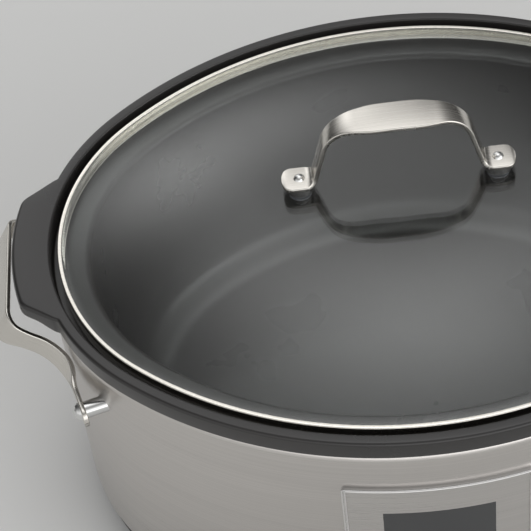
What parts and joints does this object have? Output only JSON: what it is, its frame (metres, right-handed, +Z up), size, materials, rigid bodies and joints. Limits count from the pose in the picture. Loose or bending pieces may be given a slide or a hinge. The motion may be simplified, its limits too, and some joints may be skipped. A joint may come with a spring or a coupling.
{
  "type": "slow cooker",
  "caption": "Oval countertop slow cooker: brushed steel housing with a front control panel, strap handles, a lift-out stoneware crock and a domed glass lid.",
  "frame": {"origin": "middle of the footprint, on the surface the feet stand on", "axes": "+Z up, +X along the long axis of the oval, -Y towards the front with the control panel"},
  "size_m": [0.4388, 0.303, 0.2559],
  "materials": {
    "glass": "clear polished tempered glass",
    "rim_steel": "bright satin steel",
    "strap_steel": "satin brushed steel with bright edges",
    "fastener_steel": "polished",
    "plain_steel": "zinc plated",
    "seal": "matt silicone",
    "stoneware": "satin black glaze",
    "shell_steel": "horizontally brushed stainless steel",
    "liner_paint": "satin heat-proof paint",
    "heater": "foil-faced heating band",
    "blanket": "glass-fibre blanket",
    "sensor": "plain",
    "fuse": "plain",
    "tray_plastic": "fine moulded texture",
    "foot_rubber": "matt",
    "board": "solder mask",
    "relay_plastic": "moulded",
    "capacitor_can": "sleeved",
    "terminal_plastic": "moulded",
    "switch_plastic": "moulded",
    "housing_plastic": "moulded",
    "display": "liquid crystal panel",
    "window": "tinted gloss lens",
    "panel_steel": "horizontally brushed stainless steel",
    "bezel_chrome": "polished",
    "button_plastic": "satin moulded",
    "gland_rubber": "matt"
  },
  "bodies": {
    "housing": {"left_handle": "strap_steel", "right_handle": "strap_steel", "handle_spacers": "fastener_steel", "handle_screws": "fastener_steel", "handle_nuts": "fastener_steel", "handle_washers": "plain_steel", "base_screws": "plain_steel", "liner_stud": "plain_steel", "centre_washer": "plain_steel", "centre_nut": "plain_steel", "power_board_screws": "plain_steel", "control_board_screws": "plain_steel", "panel_screws": "plain_steel", "band_clamps": "plain_steel", "fuse_clip": "plain_steel", "outer_shell": "shell_steel", "inner_liner": "liner_paint", "heating_band": "heater", "insulation_wrap": "blanket", "thermostat_sensor": "sensor", "thermal_fuse": "fuse", "base_tray": "tray_plastic", "feet": "foot_rubber", "power_board": "board", "control_board": "board", "relay": "relay_plastic", "capacitor": "capacitor_can", "terminal_block": "terminal_plastic", "tact_switches": "switch_plastic", "control_housing": "housing_plastic", "display_module": "display", "display_window": "window", "panel_face": "panel_steel", "panel_bezel": "bezel_chrome", "cord_gland": "gland_rubber"},
    "crock": {"crock": "stoneware"},
    "lid": {"lid_glass": "glass", "lid_rim": "rim_steel", "lid_handle": "strap_steel", "lid_handle_screws": "fastener_steel", "lid_handle_spacers": "fastener_steel", "lid_seal_washers": "seal", "lid_lower_washers": "seal", "lid_cap_nuts": "fastener_steel"},
    "key_power": {"button_power": "button_plastic"},
    "key_mode": {"button_mode": "button_plastic"},
    "key_minus": {"button_minus": "button_plastic"},
    "key_plus": {"button_plus": "button_plastic"}
  },
  "joints": [
    {"name": "crock_lift", "type": "slide", "parent": "housing", "child": "crock", "axis": [0, 0, 1], "range_m": [0, 0.18]},
    {"name": "lid_lift", "type": "slide", "parent": "crock", "child": "lid", "axis": [0, 0, 1], "range_m": [0, 0.12]},
    {"name": "power_press", "type": "slide", "parent": "housing", "child": "key_power", "axis": [0.1214, 0.9926, 0], "range_m": [0, 0.0008], "stiffness_N_per_m": 1200, "springref_m": -0.0006},
    {"name": "mode_press", "type": "slide", "parent": "housing", "child": "key_mode", "axis": [0.0405, 0.9992, 0], "range_m": [0, 0.0008], "stiffness_N_per_m": 1200, "springref_m": -0.0006},
    {"name": "minus_press", "type": "slide", "parent": "housing", "child": "key_minus", "axis": [-0.0405, 0.9992, 0], "range_m": [0, 0.0008], "stiffness_N_per_m": 1200, "springref_m": -0.0006},
    {"name": "plus_press", "type": "slide", "parent": "housing", "child": "key_plus", "axis": [-0.1214, 0.9926, 0], "range_m": [0, 0.0008], "stiffness_N_per_m": 1200, "springref_m": -0.0006}
  ]
}
